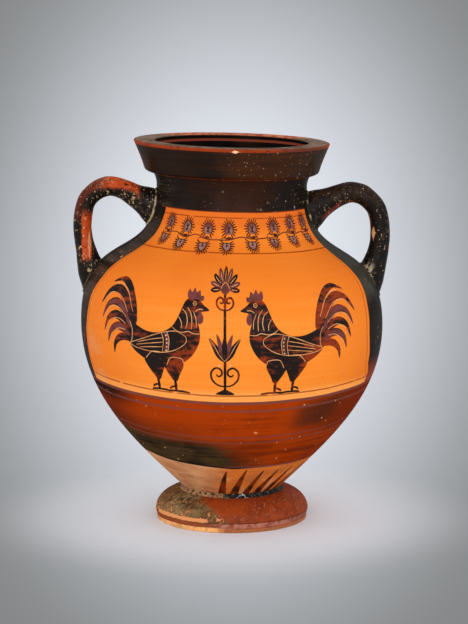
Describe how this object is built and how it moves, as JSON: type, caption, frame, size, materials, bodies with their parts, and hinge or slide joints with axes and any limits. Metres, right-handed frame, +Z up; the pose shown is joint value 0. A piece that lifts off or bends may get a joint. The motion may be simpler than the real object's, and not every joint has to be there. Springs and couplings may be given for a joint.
{
  "type": "terracotta amphora",
  "caption": "Broad terracotta amphora with body and neck in one curve, flaring straight-sided mouth, round-section loop handles and rounded foot, painted in glossy slip.",
  "frame": {"origin": "centre of the ring the foot stands on, at its resting plane, on the body's turning axis", "axes": "+Z up along the turning axis, +X towards the right handle, -Y towards the front picture panel"},
  "size_m": [0.315, 0.301, 0.3824],
  "materials": {
    "bare_clay": "fired orange clay, lightly burnished",
    "red_slip": "slip fired red-brown, soft sheen",
    "black_slip": "slip fired black, sheen with worn specks"
  },
  "bodies": {
    "root": {"foot": "red_slip", "foot_joint_fillet": "black_slip", "bowl": "red_slip", "belly_seam_coil": "bare_clay", "upper_body": "bare_clay", "neck_seam_coil": "bare_clay", "neck": "black_slip", "mouth": "black_slip", "handle_left": "black_slip", "handle_left_shoulder_collar": "black_slip", "handle_left_neck_collar": "black_slip", "handle_right": "black_slip", "handle_right_shoulder_collar": "black_slip", "handle_right_neck_collar": "black_slip"}
  },
  "joints": []
}
